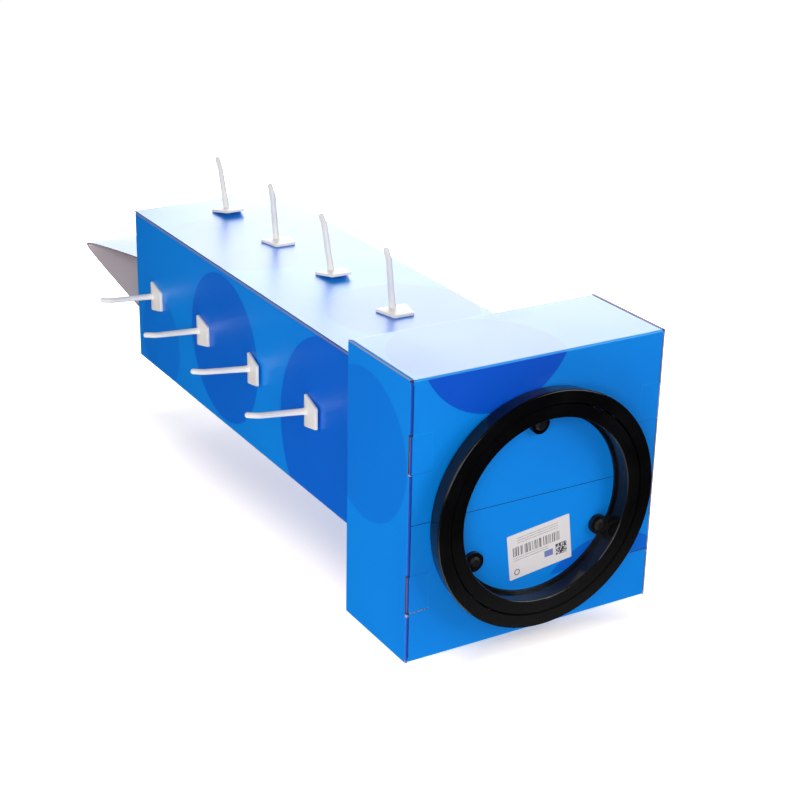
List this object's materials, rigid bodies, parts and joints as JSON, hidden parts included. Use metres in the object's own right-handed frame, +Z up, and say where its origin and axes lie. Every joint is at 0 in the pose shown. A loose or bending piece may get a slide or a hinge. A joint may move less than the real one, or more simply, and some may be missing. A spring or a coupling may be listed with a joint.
{
  "type": "rotating counter display stand",
  "caption": "Square column of folded printed card on a shallow box with a turntable ring under it, plastic hooks on each face and a folded header card.",
  "frame": {"origin": "on the surface the stand stands on, under the middle of the column", "axes": "+Z up along the column, -Y out of the front face, +X to the viewer's right of the front face"},
  "size_m": [0.2588, 0.2588, 0.7535],
  "materials": {
    "printed_card": "glossy laminated print",
    "header_card": "printed outside, bare inside",
    "white_plastic": "satin moulded",
    "black_plastic": "glossy moulded",
    "black_rivet": "satin moulded",
    "bearing_ball": "smooth",
    "sticker": "matt paper with plain bars"
  },
  "bodies": {
    "foot": {"turntable_outer_ring": "black_plastic"},
    "balls": {"bearing_balls": "bearing_ball"},
    "stand": {"base_box": "printed_card", "column": "printed_card", "header_card": "header_card", "hook_front_1": "white_plastic", "hook_front_2": "white_plastic", "hook_front_3": "white_plastic", "hook_front_4": "white_plastic", "hook_right_1": "white_plastic", "hook_right_2": "white_plastic", "hook_right_3": "white_plastic", "hook_right_4": "white_plastic", "hook_back_1": "white_plastic", "hook_back_2": "white_plastic", "hook_back_3": "white_plastic", "hook_back_4": "white_plastic", "hook_left_1": "white_plastic", "hook_left_2": "white_plastic", "hook_left_3": "white_plastic", "hook_left_4": "white_plastic", "turntable_inner_ring": "black_plastic", "lug_rivets": "black_rivet", "label": "sticker"}
  },
  "joints": [
    {"name": "turntable_spin", "type": "hinge", "parent": "foot", "child": "stand", "pos_m": [0, 0.006, 0.0085], "axis": [0, 0, 1], "continuous": true},
    {"name": "ball_roll", "type": "hinge", "parent": "foot", "child": "balls", "pos_m": [0, 0.006, 0.0085], "axis": [0, 0, 1], "continuous": true}
  ],
  "couplings": [
    {"joint": "ball_roll", "follows": "turntable_spin", "ratio": 0.5}
  ]
}
